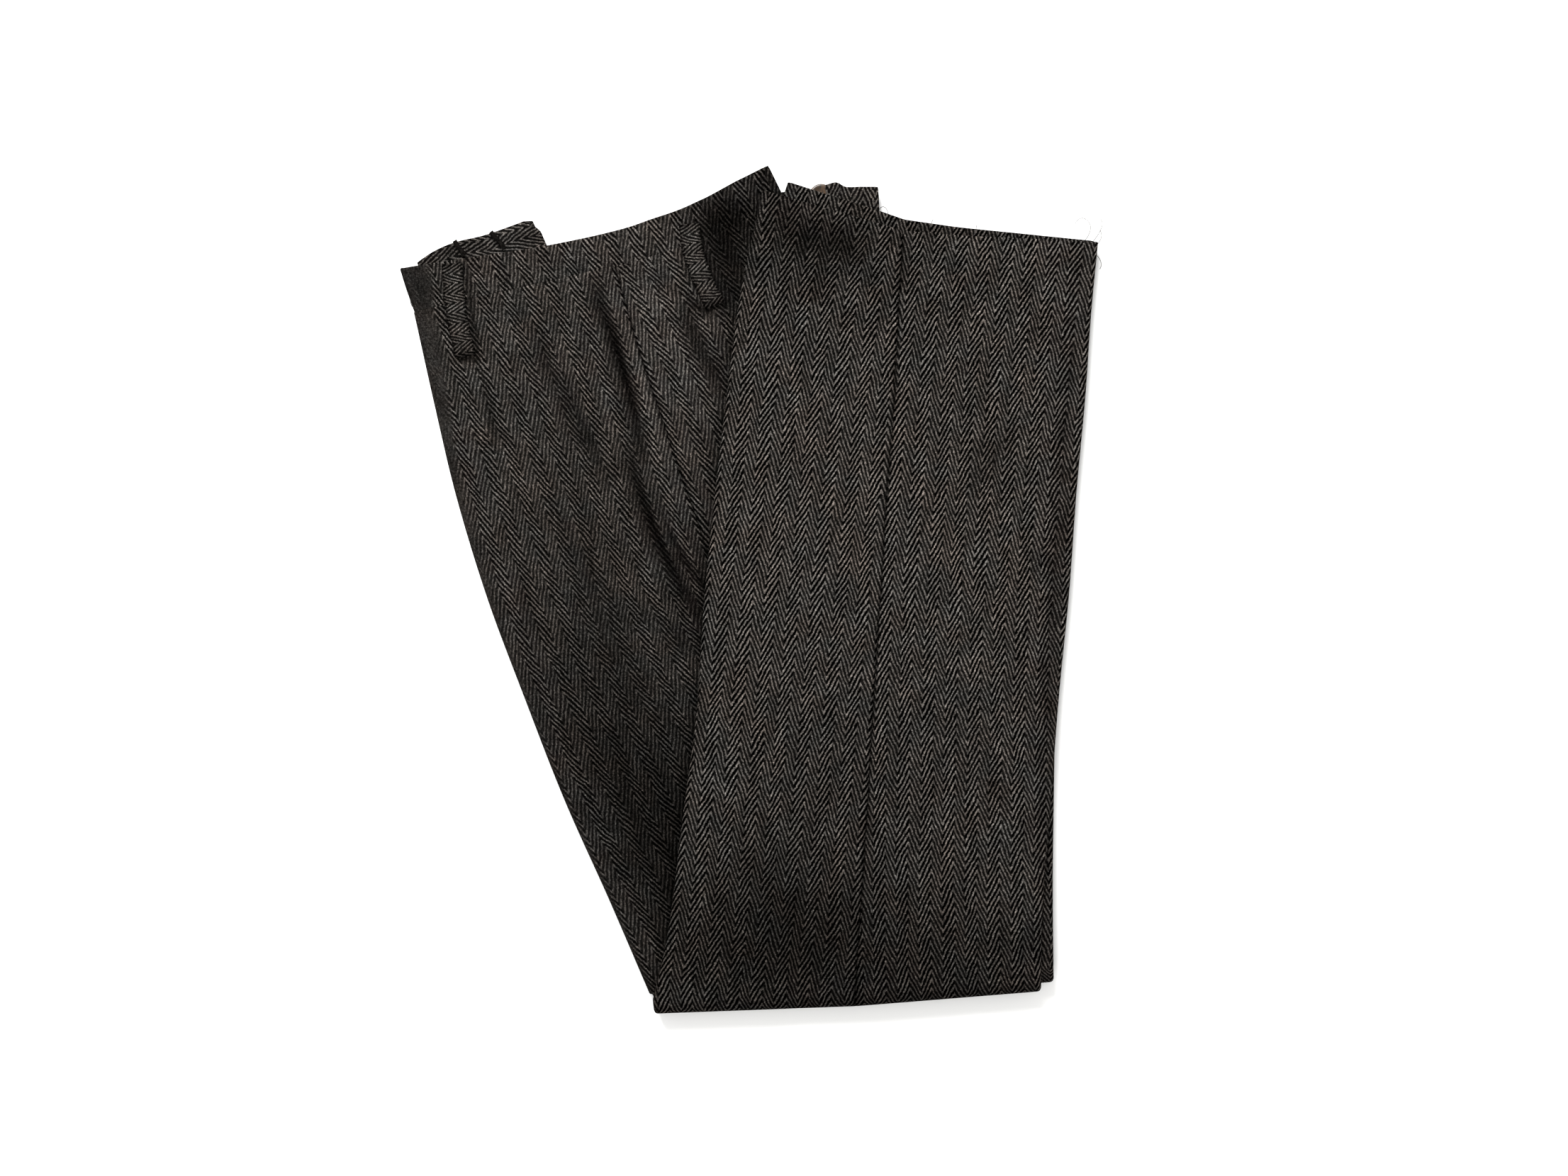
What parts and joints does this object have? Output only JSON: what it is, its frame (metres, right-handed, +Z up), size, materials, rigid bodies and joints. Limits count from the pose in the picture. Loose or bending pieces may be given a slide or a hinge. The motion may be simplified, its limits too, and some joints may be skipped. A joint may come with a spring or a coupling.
{
  "type": "folded trousers",
  "caption": "Wool herringbone suit trousers folded leg on leg along the creases and once across at the knee, lying flat with the hip and lower legs showing.",
  "frame": {"origin": "on the surface the trousers lie on, under the middle of their outline seen from above", "axes": "+Y from the knee fold to the waist and the hems, +X from the back creases to the front creases, +Z up"},
  "size_m": [0.4685, 0.5689, 0.0225],
  "materials": {
    "cloth": "matt woollen herringbone, dark grey and near black",
    "waistband": "matt woollen herringbone, doubled and pressed",
    "belt_loops": "matt woollen herringbone, cut across the grain",
    "button": "polished brown horn"
  },
  "bodies": {
    "root": {"left_leg_back": "cloth", "left_leg_front": "cloth", "right_leg_back": "cloth", "right_leg_front": "cloth", "waistband_right": "waistband", "waistband_left": "waistband", "waistband_seat": "waistband", "fly_extension": "waistband", "fly_tab": "waistband", "fly_button": "button", "belt_loop_back": "belt_loops", "belt_loop_front": "belt_loops", "seat_loop_outer": "belt_loops", "seat_loop_inner": "belt_loops", "hidden_layers": "cloth"}
  },
  "joints": []
}
